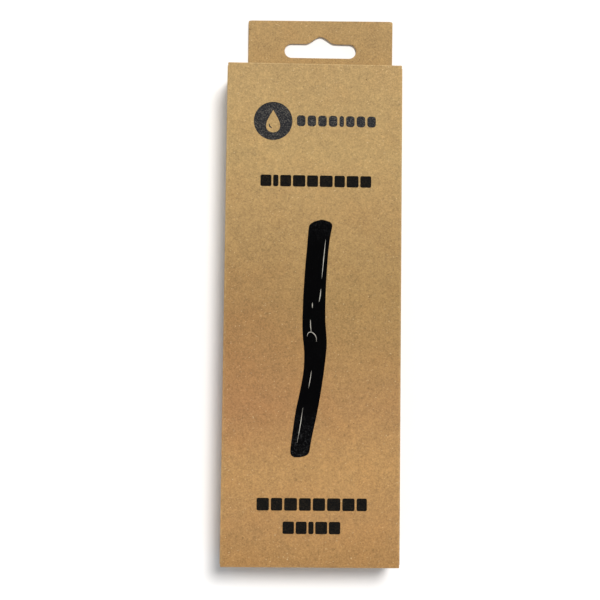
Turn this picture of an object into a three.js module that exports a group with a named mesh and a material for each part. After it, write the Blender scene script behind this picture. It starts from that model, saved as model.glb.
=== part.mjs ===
// A stick of water-filter charcoal in its folding carton of brown kraft board, with a hang tab.
// The carton lies on its back: X runs across it, Y along it towards the hang tab, Z up out of its front.
// The origin is under the middle of the whole length, on the surface that the carton lies on.
// The carton is one creased sheet of board. Each panel between two creases is a mesh of its own.

import * as THREE from "three";

// Driving dimensions, in millimetres.
const CARTON_WIDTH = 76;
const CARTON_DEPTH = 25;
const CARTON_LENGTH = 216;
const BOARD = 0.5;
const CREASE_GAP = 0.3;

const HEADER_WIDTH = 65;
const HEADER_LENGTH = 26;
const HEADER_SHIFT = 2.4;
const HEADER_CORNER_RADIUS = 0.8;

const SLOT_WIDTH = 32;
const SLOT_WING_HEIGHT = 6.6;
const SLOT_HEIGHT = 10;
const SLOT_HUMP_RADIUS = 6.8;
const SLOT_BELOW_TAB_END = 7;

const TONGUE_LENGTH = 14.5;
const TONGUE_SIDE_CLEARANCE = 2;
const TONGUE_CORNER_RADIUS = 9;

const DUST_FLAP_REACH = 22;
const DUST_FLAP_TAPER = 0.5;
const DUST_FLAP_CORNER_RADIUS = 3;

const GLUE_FLAP_WIDTH = 14;
const GLUE_FLAP_LENGTH = 208;
const GLUE_FLAP_END_SLANT = 6;
const GLUE_FILM = 0.2;
const GLUE_LINE_WIDTH = 8;
const GLUE_LINE_LENGTH = 190;

const STICK_LENGTH = 112;
const STICK_RADIUS = 7.2;
const STICK_SWAY = 3.2;
const STICK_END_CLEARANCE = 0.8;
const STICK_FLOOR_CLEARANCE = 1.7;
const STICK_SIDES = 18;
const STICK_STATIONS = 30;

// Worked out from them.
const TOP_Y = (CARTON_LENGTH - HEADER_LENGTH) / 2;
const BOTTOM_Y = TOP_Y - CARTON_LENGTH;
const BODY_MIDDLE_Y = (TOP_Y + BOTTOM_Y) / 2;
const TAB_END_Y = TOP_Y + HEADER_LENGTH;
const CREASE_STEP = BOARD + CREASE_GAP;
const PANEL_BOTTOM_Z = CREASE_STEP;
const PANEL_TOP_Z = CARTON_DEPTH - CREASE_STEP;
const END_PLATE_BOTTOM_Z = 2 * CREASE_STEP;
const CURVE_STEPS = 8;

const kraft = (tint) => new THREE.MeshStandardMaterial({ color: tint, roughness: 0.85, metalness: 0 });

function mesh(name, geometry, material) {
  const made = new THREE.Mesh(geometry, material);
  made.name = name;
  return made;
}

// An outline cut from board, lying flat: the outline's own axes are X and Y, and the thickness is +Z.
function cutBoard(outline, thickness) {
  return new THREE.ExtrudeGeometry(outline, {
    depth: thickness,
    bevelEnabled: false,
    curveSegments: CURVE_STEPS,
  });
}

// The same, stood up so that the outline's Y becomes Z and the thickness runs from Y = -thickness to 0.
function cutBoardUpright(outline, thickness) {
  return cutBoard(outline, thickness).rotateX(Math.PI / 2);
}

// The hole that a peg hook takes: a slot with round ends and a round hump that centres the hook.
function euroSlot(centreX, bottomY) {
  const endRadius = SLOT_WING_HEIGHT / 2;
  const endOffset = SLOT_WIDTH / 2 - endRadius;
  const humpCentreY = bottomY + SLOT_HEIGHT - SLOT_HUMP_RADIUS;
  const wingTopY = bottomY + SLOT_WING_HEIGHT;
  const shoulder = Math.asin((wingTopY - humpCentreY) / SLOT_HUMP_RADIUS);
  const slot = new THREE.Path();
  slot.moveTo(centreX - endOffset, bottomY);
  slot.lineTo(centreX + endOffset, bottomY);
  slot.absarc(centreX + endOffset, bottomY + endRadius, endRadius, -Math.PI / 2, Math.PI / 2, false);
  slot.absarc(centreX, humpCentreY, SLOT_HUMP_RADIUS, shoulder, Math.PI - shoulder, false);
  slot.absarc(centreX - endOffset, bottomY + endRadius, endRadius, Math.PI / 2, (3 * Math.PI) / 2, false);
  return slot;
}

// The single-ply tab beyond the back panel's top edge, level with that panel.
function hangHeader() {
  const left = HEADER_SHIFT - HEADER_WIDTH / 2;
  const right = HEADER_SHIFT + HEADER_WIDTH / 2;
  const near = TOP_Y + CREASE_GAP;
  const corner = HEADER_CORNER_RADIUS;
  const outline = new THREE.Shape();
  outline.moveTo(left, near);
  outline.lineTo(right, near);
  outline.absarc(right - corner, TAB_END_Y - corner, corner, 0, Math.PI / 2, false);
  outline.absarc(left + corner, TAB_END_Y - corner, corner, Math.PI / 2, Math.PI, false);
  outline.holes.push(euroSlot(HEADER_SHIFT, TAB_END_Y - SLOT_BELOW_TAB_END - SLOT_HEIGHT));
  return mesh("hang_header", cutBoard(outline, BOARD), kraft(0xbc9a68));
}

// Front and back panels are full size. The side panels stand between them and stop short of the end flaps.
function tubePanels() {
  const group = new THREE.Group();
  group.position.y = BODY_MIDDLE_Y;

  const front = mesh("front_panel", new THREE.BoxGeometry(CARTON_WIDTH, CARTON_LENGTH, BOARD), kraft(0xbe9c6a));
  front.position.z = CARTON_DEPTH - BOARD / 2;
  const back = mesh("back_panel", new THREE.BoxGeometry(CARTON_WIDTH, CARTON_LENGTH, BOARD), kraft(0xb89464));
  back.position.z = BOARD / 2;
  group.add(front, back);

  const sideLength = CARTON_LENGTH - 4 * CREASE_STEP;
  const sideHeight = PANEL_TOP_Z - PANEL_BOTTOM_Z;
  for (const [side, name] of [[-1, "left_side_panel"], [1, "right_side_panel"]]) {
    const panel = mesh(name, new THREE.BoxGeometry(BOARD, sideLength, sideHeight), kraft(0xb39060));
    panel.position.set((side * (CARTON_WIDTH - BOARD)) / 2, 0, CARTON_DEPTH / 2);
    group.add(panel);
  }
  return group;
}

// The lap that closes the tube stands inside the right side panel, with a film of glue between the two.
function gluedSeam() {
  const group = new THREE.Group();
  group.position.y = BODY_MIDDLE_Y;
  const panelInnerX = CARTON_WIDTH / 2 - BOARD;
  const half = GLUE_FLAP_LENGTH / 2;
  const outline = new THREE.Shape();
  outline.moveTo(0, -half);
  outline.lineTo(0, half);
  outline.lineTo(-GLUE_FLAP_WIDTH, half - GLUE_FLAP_END_SLANT);
  outline.lineTo(-GLUE_FLAP_WIDTH, GLUE_FLAP_END_SLANT - half);
  const flap = mesh("glue_flap", cutBoard(outline, BOARD).rotateY(Math.PI / 2), kraft(0xb08c5c));
  flap.position.set(panelInnerX - CREASE_GAP - BOARD, 0, PANEL_BOTTOM_Z);

  const glue = new THREE.MeshStandardMaterial({ color: 0xd8cfae, roughness: 0.4, metalness: 0 });
  const film = mesh("glue_line", new THREE.BoxGeometry(GLUE_FILM, GLUE_LINE_LENGTH, GLUE_LINE_WIDTH), glue);
  film.position.set(panelInnerX - CREASE_GAP / 2, 0, PANEL_BOTTOM_Z + GLUE_FLAP_WIDTH / 2);
  group.add(flap, film);
  return group;
}

// A dust flap: square against the back panel, tapered towards the front so that it opens with the lid.
function dustFlapOutline(side) {
  const hingeX = (side * CARTON_WIDTH) / 2;
  const at = (reach) => hingeX - side * reach;
  const tipTopZ = PANEL_TOP_Z - DUST_FLAP_TAPER * DUST_FLAP_REACH;
  const round = DUST_FLAP_CORNER_RADIUS;
  const outline = new THREE.Shape();
  outline.moveTo(at(0), END_PLATE_BOTTOM_Z);
  outline.lineTo(at(DUST_FLAP_REACH - round), END_PLATE_BOTTOM_Z);
  outline.quadraticCurveTo(at(DUST_FLAP_REACH), END_PLATE_BOTTOM_Z, at(DUST_FLAP_REACH), END_PLATE_BOTTOM_Z + round);
  outline.lineTo(at(DUST_FLAP_REACH), tipTopZ - round);
  outline.quadraticCurveTo(
    at(DUST_FLAP_REACH),
    tipTopZ,
    at(DUST_FLAP_REACH - round),
    tipTopZ + DUST_FLAP_TAPER * round,
  );
  outline.lineTo(at(0), PANEL_TOP_Z);
  return outline;
}

// The tuck tongue, with its two free corners rounded. It lies inside the carton, along the back panel.
function tongueOutline() {
  const half = CARTON_WIDTH / 2 - TONGUE_SIDE_CLEARANCE;
  const round = TONGUE_CORNER_RADIUS;
  const outline = new THREE.Shape();
  outline.moveTo(half, 0);
  outline.lineTo(-half, 0);
  outline.absarc(round - half, round - TONGUE_LENGTH, round, Math.PI, (3 * Math.PI) / 2, false);
  outline.absarc(half - round, round - TONGUE_LENGTH, round, -Math.PI / 2, 0, false);
  return outline;
}

// One tuck end, built with its outer face at Y = 0 and the carton on the -Y side: lid, tongue, two dust flaps.
function tuckEnd(end, nameAtMinusX, nameAtPlusX) {
  const group = new THREE.Group();
  const lidHeight = PANEL_TOP_Z - END_PLATE_BOTTOM_Z;
  const lid = mesh(
    `${end}_lid`,
    new THREE.BoxGeometry(CARTON_WIDTH - 2 * BOARD, BOARD, lidHeight),
    kraft(0xb69363),
  );
  lid.position.set(0, -BOARD / 2, END_PLATE_BOTTOM_Z + lidHeight / 2);
  const tongue = mesh(`${end}_lid_tongue`, cutBoard(tongueOutline(), BOARD), kraft(0xad8a5b));
  tongue.position.z = PANEL_BOTTOM_Z;
  group.add(lid, tongue);

  for (const [side, name] of [[-1, nameAtMinusX], [1, nameAtPlusX]]) {
    const geometry = cutBoardUpright(dustFlapOutline(side), BOARD);
    const flap = mesh(`${end}_dust_flap_${name}`, geometry, kraft(0xb08d5e));
    flap.position.y = -CREASE_STEP;
    group.add(flap);
  }
  return group;
}

// The stick's middle line swings gently from side to side, with a sharper kink at its knot.
function stickCentreX(along) {
  const kink = Math.exp(-(((along - 0.5) / 0.09) ** 2));
  return STICK_SWAY * Math.cos(Math.PI * along * 1.15) * (0.6 + 0.4 * along) + 0.9 * kink;
}

// The stick's radius: thicker at the knot, a little thinner at the head, rounded off at both ends, not quite round.
function stickRadius(along, turn) {
  const knot = 0.07 * Math.exp(-(((along - 0.5) / 0.06) ** 2));
  const swell = 0.05 * Math.sin(Math.PI * (2.3 * along + 0.2));
  const out = Math.min(along, 1 - along) * STICK_LENGTH;
  const worn = 0.14 * Math.exp(-out / 1.1);
  const oval = 0.045 * Math.cos(2 * turn + 3 * along) + 0.02 * Math.cos(5 * turn - 4 * along);
  return STICK_RADIUS * (1 + knot + swell + oval - worn);
}

// A cylinder along Y whose rings are moved onto the middle line and scaled to the radius above.
function charcoalStick() {
  const geometry = new THREE.CylinderGeometry(1, 1, 1, STICK_SIDES, STICK_STATIONS);
  const position = geometry.getAttribute("position");
  const point = new THREE.Vector3();
  let lowest = Infinity;
  for (let i = 0; i < position.count; i += 1) {
    point.fromBufferAttribute(position, i);
    const even = point.y + 0.5;
    const along = even - Math.sin(2 * Math.PI * even) / (2.6 * Math.PI);
    const radius = stickRadius(along, Math.atan2(point.z, point.x));
    const slant = 1.2 * point.x * (along < 0.5 ? -1 : 1) * Math.abs(2 * along - 1) ** 8;
    point.set(stickCentreX(along) + radius * point.x, along * STICK_LENGTH + slant, radius * point.z);
    position.setXYZ(i, point.x, point.y, point.z);
    lowest = Math.min(lowest, point.z);
  }
  geometry.computeVertexNormals();
  geometry.computeBoundingBox();
  const charcoal = new THREE.MeshStandardMaterial({ color: 0x1d1c1b, roughness: 0.55, metalness: 0.1 });
  const stick = mesh("charcoal_stick", geometry, charcoal);
  const innerEndY = BOTTOM_Y + 2 * BOARD + CREASE_GAP;
  stick.position.set(0, innerEndY + STICK_END_CLEARANCE - geometry.boundingBox.min.y, STICK_FLOOR_CLEARANCE - lowest);
  return stick;
}

const carton = new THREE.Group();
const topEnd = tuckEnd("top", "left", "right");
topEnd.position.y = TOP_Y;
const bottomEnd = tuckEnd("bottom", "right", "left");
bottomEnd.position.y = BOTTOM_Y;
bottomEnd.rotation.z = Math.PI;
carton.add(tubePanels(), gluedSeam(), hangHeader(), topEnd, bottomEnd, charcoalStick());

export default carton;
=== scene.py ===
"""A stick of charcoal in its hanging carton of kraft board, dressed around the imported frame.

Lengths are in millimetres, and meshes are scaled to metres as they are made. X runs across the
carton, Y from its bottom end towards its hang tab, and Z up from the surface that it lies on.
"""

from __future__ import annotations

import logging
import math
from collections.abc import Mapping, Sequence
from dataclasses import dataclass, field
from enum import Enum

import bpy
import numpy as np
from mathutils import Matrix


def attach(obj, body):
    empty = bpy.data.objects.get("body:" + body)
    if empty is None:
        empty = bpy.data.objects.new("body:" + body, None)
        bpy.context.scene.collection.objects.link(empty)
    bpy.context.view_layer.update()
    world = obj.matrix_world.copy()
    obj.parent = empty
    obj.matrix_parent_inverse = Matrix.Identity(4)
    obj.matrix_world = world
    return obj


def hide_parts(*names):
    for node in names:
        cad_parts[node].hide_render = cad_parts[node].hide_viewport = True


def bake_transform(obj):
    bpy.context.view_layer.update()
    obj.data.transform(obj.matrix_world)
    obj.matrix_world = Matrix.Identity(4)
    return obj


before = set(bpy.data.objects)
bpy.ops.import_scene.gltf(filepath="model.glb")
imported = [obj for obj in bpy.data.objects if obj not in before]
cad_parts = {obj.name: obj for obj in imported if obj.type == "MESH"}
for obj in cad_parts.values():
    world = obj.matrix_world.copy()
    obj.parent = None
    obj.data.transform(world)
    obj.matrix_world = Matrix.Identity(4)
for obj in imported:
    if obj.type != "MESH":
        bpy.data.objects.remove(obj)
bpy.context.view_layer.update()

LOG = logging.getLogger("carton")
MM = 0.001
Array = np.ndarray
Material = bpy.types.Material
Socket = bpy.types.NodeSocket
Colour = tuple[float, float, float]
Point2 = tuple[float, float]
Point3 = tuple[float, float, float]


# --------------------------------------------------------------------------- meshes


@dataclass
class Surface:
    """The points and faces of one piece, with one number a point for each named mark.

    Attributes:
        points: (n, 3) places in millimetres.
        quads: (m, 4) point numbers, anticlockwise seen from outside.
        marks: for each mark's name, (n,) values from 0 to 1 that a finish reads.
        triangles: (k, 3) point numbers, where a pole is closed.
    """

    points: Array
    quads: Array
    marks: dict[str, Array] = field(default_factory=dict)
    triangles: Array = field(default_factory=lambda: np.zeros((0, 3), int))

    @staticmethod
    def joined(parts: Sequence[Surface]) -> Surface:
        """Puts several surfaces into one, each keeping its own points.

        Args:
            parts: surfaces that all carry the same marks.

        Returns:
            The one surface that holds them all.
        """
        starts = np.cumsum([0] + [len(part.points) for part in parts[:-1]])
        return Surface(
            points=np.concatenate([part.points for part in parts]),
            quads=np.concatenate([part.quads + start for part, start in zip(parts, starts)]),
            marks={name: np.concatenate([part.marks[name] for part in parts]) for name in parts[0].marks},
            triangles=np.concatenate([part.triangles + start for part, start in zip(parts, starts)]),
        )

    def volume(self) -> float:
        """The signed volume: a sixth of the sum of each triangle's triple product."""
        first, second, third, fourth = (self.points[self.quads[:, k]] for k in range(4))
        halves = [(first, second, third), (first, third, fourth)]
        halves.append(tuple(self.points[self.triangles[:, k]] for k in range(3)))
        return float(sum(np.einsum("ij,ij->", a, np.cross(b, c)) for a, b, c in halves)) / 6

    def facing_out(self) -> Surface:
        """This surface with its faces turned round if they point inwards."""
        if self.volume() >= 0:
            return self
        return Surface(self.points, self.quads[:, ::-1], self.marks, self.triangles[:, ::-1])

    def piece(self, name: str, material: Material, sharp_angle: float = 40.0) -> bpy.types.Object:
        """Makes the mesh object, in metres, with its marks as attributes.

        Args:
            name: the object's name.
            material: its finish.
            sharp_angle: the angle in degrees past which an edge between faces stays sharp.

        Returns:
            The object, at the origin.
        """
        mesh = bpy.data.meshes.new(name)
        mesh.from_pydata((self.points * MM).tolist(), [], self.quads.tolist() + self.triangles.tolist())
        for mark, values in self.marks.items():
            layer = mesh.attributes.new(mark, "FLOAT", "POINT")
            layer.data.foreach_set("value", values.astype(np.float32))
        mesh.polygons.foreach_set("use_smooth", np.ones(len(mesh.polygons), bool))
        mesh.set_sharp_from_angle(angle=math.radians(sharp_angle))
        mesh.materials.append(material)
        mesh.update()
        made = bpy.data.objects.new(name, mesh)
        bpy.context.scene.collection.objects.link(made)
        return made


def grid_quads(rows: int, columns: int, wraps: bool = False) -> Array:
    """The quads of a grid whose points are stored row after row.

    Args:
        rows: how many rows there are.
        columns: how many points each row has.
        wraps: whether the last row joins the first.

    Returns:
        (m, 4) point numbers; each quad goes along a column first, then along a row.
    """
    row, column = np.meshgrid(np.arange(rows if wraps else rows - 1), np.arange(columns - 1), indexing="ij")
    following = (row + 1) % rows
    corners = (row * columns + column, following * columns + column,
               following * columns + column + 1, row * columns + column + 1)
    return np.stack(corners, axis=-1).reshape(-1, 4)


def surface_normals(middle: Array, wraps: bool, outward: Point3) -> Array:
    """Unit normals of a grid: the cross product of its two slopes, turned to the named side.

    Args:
        middle: (rows, columns, 3) points.
        wraps: whether the last row joins the first.
        outward: a direction that the normals point along, on average.

    Returns:
        (rows, columns, 3) unit vectors.
    """
    if wraps:
        along = np.roll(middle, -1, axis=0) - np.roll(middle, 1, axis=0)
    else:
        along = np.gradient(middle, axis=0)
    normals = np.cross(along, np.gradient(middle, axis=1))
    normals /= np.maximum(np.linalg.norm(normals, axis=-1, keepdims=True), 1e-12)
    return normals if float(normals.mean(axis=(0, 1)) @ np.array(outward)) >= 0 else -normals


def closed_sheet(
    middle: Array,
    half_thickness: Array | float,
    outward: Point3,
    wraps: bool = False,
    marks: Mapping[str, Array] | None = None,
) -> Surface:
    """Gives a grid two skins and joins them round its border.

    Each skin is the middle surface moved along its normal by the half thickness, one way and the
    other. A border quad joins each edge of one skin to the same edge of the other.

    Args:
        middle: (rows, columns, 3) points of the middle surface.
        half_thickness: half of the thickness, one value or one a point.
        outward: the side that the printed skin faces.
        wraps: whether the last row joins the first.
        marks: values a point, given to both skins.

    Returns:
        The closed surface, with an "inside" mark that is 1 on the unprinted skin.
    """
    rows, columns = middle.shape[:2]
    half = np.broadcast_to(half_thickness, (rows, columns))[..., None]
    offset = surface_normals(middle, wraps, outward) * half
    number = np.arange(rows * columns).reshape(rows, columns)
    under = number + rows * columns

    def band(edge: Array, closed: bool) -> Array:
        """The quads between one line of points on the first skin and the same line on the second."""
        following = np.roll(edge, -1) if closed else edge[1:]
        start = edge if closed else edge[:-1]
        return np.stack((following, start, start + rows * columns, following + rows * columns), axis=-1)

    skins = grid_quads(rows, columns, wraps)
    bands = [band(number[:, 0], wraps), band(number[:, -1], wraps)[:, ::-1]]
    if not wraps:
        bands += [band(number[0, :], False)[:, ::-1], band(number[-1, :], False)]
    given = {
        name: np.tile(np.broadcast_to(values, (rows, columns)).ravel(), 2)
        for name, values in (marks or {}).items()
    }
    given["inside"] = np.repeat([0.0, 1.0], rows * columns)
    return Surface(
        points=np.concatenate(((middle + offset).reshape(-1, 3), (middle - offset).reshape(-1, 3))),
        quads=np.concatenate([skins, skins[:, ::-1] + under[0, 0]] + bands),
        marks=given,
    ).facing_out()


def steps(
    length: float, count: int, near_start: Sequence[float] = (), near_end: Sequence[float] = ()
) -> Array:
    """Distances from 0 to a length: even ones, and extra ones close to its ends.

    Args:
        length: the whole length.
        count: how many even distances there are, ends included.
        near_start: extra distances from the start.
        near_end: extra distances back from the end.

    Returns:
        The sorted distances.
    """
    even = np.linspace(0, length, count)
    return np.unique(np.concatenate((even, near_start, length - np.asarray(near_end, float))))


def ease(values: Array) -> Array:
    """Smoothly from 0 to 1: three squares less two cubes of the value held between 0 and 1."""
    held = np.clip(values, 0, 1)
    return held * held * (3 - 2 * held)


def bell(away: Array, width: float) -> Array:
    """A bell that is 1 where the distance is 0: e to the less of the square of distance over width."""
    return np.exp(-((away / width) ** 2))


def corner_draw(past: Array, radius: float) -> Array:
    """How far a round corner draws a side in: the radius less the root of its square less the way's."""
    held = np.clip(past, 0, radius)
    return radius - np.sqrt(radius**2 - held**2)


def ring_noise(along: Array, turn: Array, cells_along: int, cells_round: int, seed: int) -> Array:
    """Smooth noise on a rod: seeded values at the knots of a net, eased between their four neighbours.

    Args:
        along: 0 to 1 down the rod.
        turn: 0 to 1 round it, where 1 meets 0.
        cells_along: how many cells of the net lie down the rod.
        cells_round: how many lie round it.
        seed: the seed of the net's values.

    Returns:
        Values from -1 to 1, of the shape that the two inputs make together.
    """
    net = np.random.default_rng(seed).uniform(-1, 1, (cells_along + 1, cells_round))
    row = np.clip(along, 0, 1) * (cells_along - 1e-6)
    column = (turn % 1) * cells_round
    top, left = np.floor(row).astype(int), np.floor(column).astype(int) % cells_round
    right = (left + 1) % cells_round
    down, across = ease(row - top), ease(column - np.floor(column))
    upper = net[top, left] * (1 - across) + net[top, right] * across
    lower = net[top + 1, left] * (1 - across) + net[top + 1, right] * across
    return upper * (1 - down) + lower * down


# --------------------------------------------------------------------------- shader maths


class Expr:
    """A number that varies over a surface: arithmetic on it adds Math nodes."""

    def __init__(self, tree: Tree, socket: Socket) -> None:
        """Wraps an output socket of a tree."""
        self.tree, self.socket = tree, socket

    def __add__(self, other: Value) -> Expr:
        """This plus another."""
        return self.tree.math("ADD", self, other)

    __radd__ = __add__

    def __sub__(self, other: Value) -> Expr:
        """This less another."""
        return self.tree.math("SUBTRACT", self, other)

    def __rsub__(self, other: Value) -> Expr:
        """Another less this."""
        return self.tree.math("SUBTRACT", other, self)

    def __mul__(self, other: Value) -> Expr:
        """This times another."""
        return self.tree.math("MULTIPLY", self, other)

    __rmul__ = __mul__

    def between(self, low: float, high: float) -> Expr:
        """0 below the low value, 1 above the high one, smooth between; falls where low is above high."""
        sockets = {"Value": self, "From Min": low, "From Max": high}
        made = self.tree.node("ShaderNodeMapRange", {"interpolation_type": "SMOOTHSTEP"}, sockets)
        return Expr(self.tree, made.outputs["Result"])


Value = float | Expr


class Tree:
    """One material's node tree, with short ways to add the nodes that the finishes use."""

    def __init__(self, name: str) -> None:
        """Makes an empty material of that name."""
        self.material = bpy.data.materials.new(name)
        self.material.use_nodes = True
        self.material.node_tree.nodes.clear()
        self.place = self.node("ShaderNodeTexCoord").outputs["Object"]

    def node(
        self, kind: str, settings: Mapping[str, object] | None = None,
        sockets: Mapping[str, object] | None = None,
    ) -> bpy.types.Node:
        """Adds a node.

        Args:
            kind: the node's type.
            settings: its properties, set first; "stops" are a ramp's positions and colours.
            sockets: for an input's identifier or name, a value, a socket or an Expr.

        Returns:
            The node.
        """
        made = self.material.node_tree.nodes.new(kind)
        for key, value in (settings or {}).items():
            if key == "stops":
                self._set_stops(made.color_ramp, value)
            else:
                setattr(made, key, value)
        identified = {socket.identifier: socket for socket in made.inputs}
        for key, value in (sockets or {}).items():
            socket = identified.get(key) or made.inputs[key]
            if isinstance(value, Expr):
                value = value.socket
            if isinstance(value, Socket):
                self.material.node_tree.links.new(value, socket)
            else:
                socket.default_value = value
        return made

    @staticmethod
    def _set_stops(ramp: bpy.types.ColorRamp, stops: Sequence[tuple[float, Colour]]) -> None:
        """Gives a colour ramp its stops, from the lowest position up."""
        while len(ramp.elements) < len(stops):
            ramp.elements.new(1.0)
        for element, (position, colour) in zip(ramp.elements, stops):
            element.position, element.color = position, (*colour, 1.0)

    def math(self, operation: str, *values: Value) -> Expr:
        """One Math node on one to three values."""
        names = ("Value", "Value_001", "Value_002")
        made = self.node("ShaderNodeMath", {"operation": operation}, dict(zip(names, values)))
        return Expr(self, made.outputs[0])

    def mark(self, name: str) -> Expr:
        """A named mark that the mesh carries."""
        return Expr(self, self.node("ShaderNodeAttribute", {"attribute_name": name}).outputs["Fac"])

    def coordinate(self, axis: str) -> Expr:
        """One coordinate, in millimetres."""
        split = self.node("ShaderNodeSeparateXYZ", sockets={"Vector": self.place})
        return Expr(self, split.outputs[axis]) * (1 / MM)

    def noise(
        self, size: float, detail: float = 2.0, roughness: float = 0.5,
        stretch: Point3 = (1.0, 1.0, 1.0), turn: Point3 = (0.0, 0.0, 0.0), shift: float = 0.0,
    ) -> Expr:
        """Noise from about 0 to 1 with its middle at a half.

        Args:
            size: the size of its largest features, in millimetres.
            detail: how many finer layers are added.
            roughness: how strong each finer layer is.
            stretch: how many times longer the features are along each turned axis.
            turn: the angles of those axes, in degrees.
            shift: how far the pattern is moved, in metres, so that two noises differ.

        Returns:
            The noise's value.
        """
        placed = self.node("ShaderNodeMapping", {"vector_type": "TEXTURE"}, {
            "Vector": self.place, "Location": (shift, shift, shift),
            "Rotation": tuple(math.radians(angle) for angle in turn), "Scale": stretch,
        })
        made = self.node("ShaderNodeTexNoise", None, {
            "Vector": placed.outputs[0], "Scale": 1 / (size * MM), "Detail": detail, "Roughness": roughness,
        })
        return Expr(self, made.outputs["Fac"])

    def cells(self, size: float) -> Expr:
        """The distance to the nearest of scattered points, in shares of their spacing."""
        made = self.node("ShaderNodeTexVoronoi", None, {"Vector": self.place, "Scale": 1 / (size * MM)})
        return Expr(self, made.outputs["Distance"])

    def mixed(self, share: Value, first: object, second: object, blend: str = "MIX") -> Socket:
        """A colour that goes from the first to the second as the share goes from 0 to 1."""
        colours = {key: (*value, 1.0) if isinstance(value, tuple) else value
                   for key, value in (("A_Color", first), ("B_Color", second))}
        settings = {"data_type": "RGBA", "blend_type": blend}
        made = self.node("ShaderNodeMix", settings, {"Factor_Float": share, **colours})
        return next(socket for socket in made.outputs if socket.identifier == "Result_Color")

    def scaled(self, colour: object, factor: Value) -> Socket:
        """A colour made lighter or darker by a factor."""
        made = self.node("ShaderNodeVectorMath", {"operation": "SCALE"}, {"Vector": colour, "Scale": factor})
        return made.outputs[0]

    def ramp(self, value: Expr, stops: Sequence[tuple[float, Colour]]) -> Socket:
        """A colour looked up on a ramp that runs straight from stop to stop."""
        return self.node("ShaderNodeValToRGB", {"stops": stops}, {"Fac": value}).outputs["Color"]

    def bump(self, height: Expr, distance: float) -> Socket:
        """A normal moved by a height of 0 to 1 over a distance in millimetres."""
        sockets = {"Height": height, "Distance": distance * MM, "Strength": 1.0}
        return self.node("ShaderNodeBump", None, sockets).outputs["Normal"]

    def finished(self, **sockets: object) -> Material:
        """Ends the tree in a Principled shader.

        Args:
            sockets: its inputs, with an underscore for a space, as base_color.

        Returns:
            The material.
        """
        named = {key.replace("_", " ").title().replace("Ior", "IOR"): value for key, value in sockets.items()}
        shader = self.node("ShaderNodeBsdfPrincipled", None, named)
        self.node("ShaderNodeOutputMaterial", None, {"Surface": shader.outputs["BSDF"]})
        return self.material


# --------------------------------------------------------------------------- finishes


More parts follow.
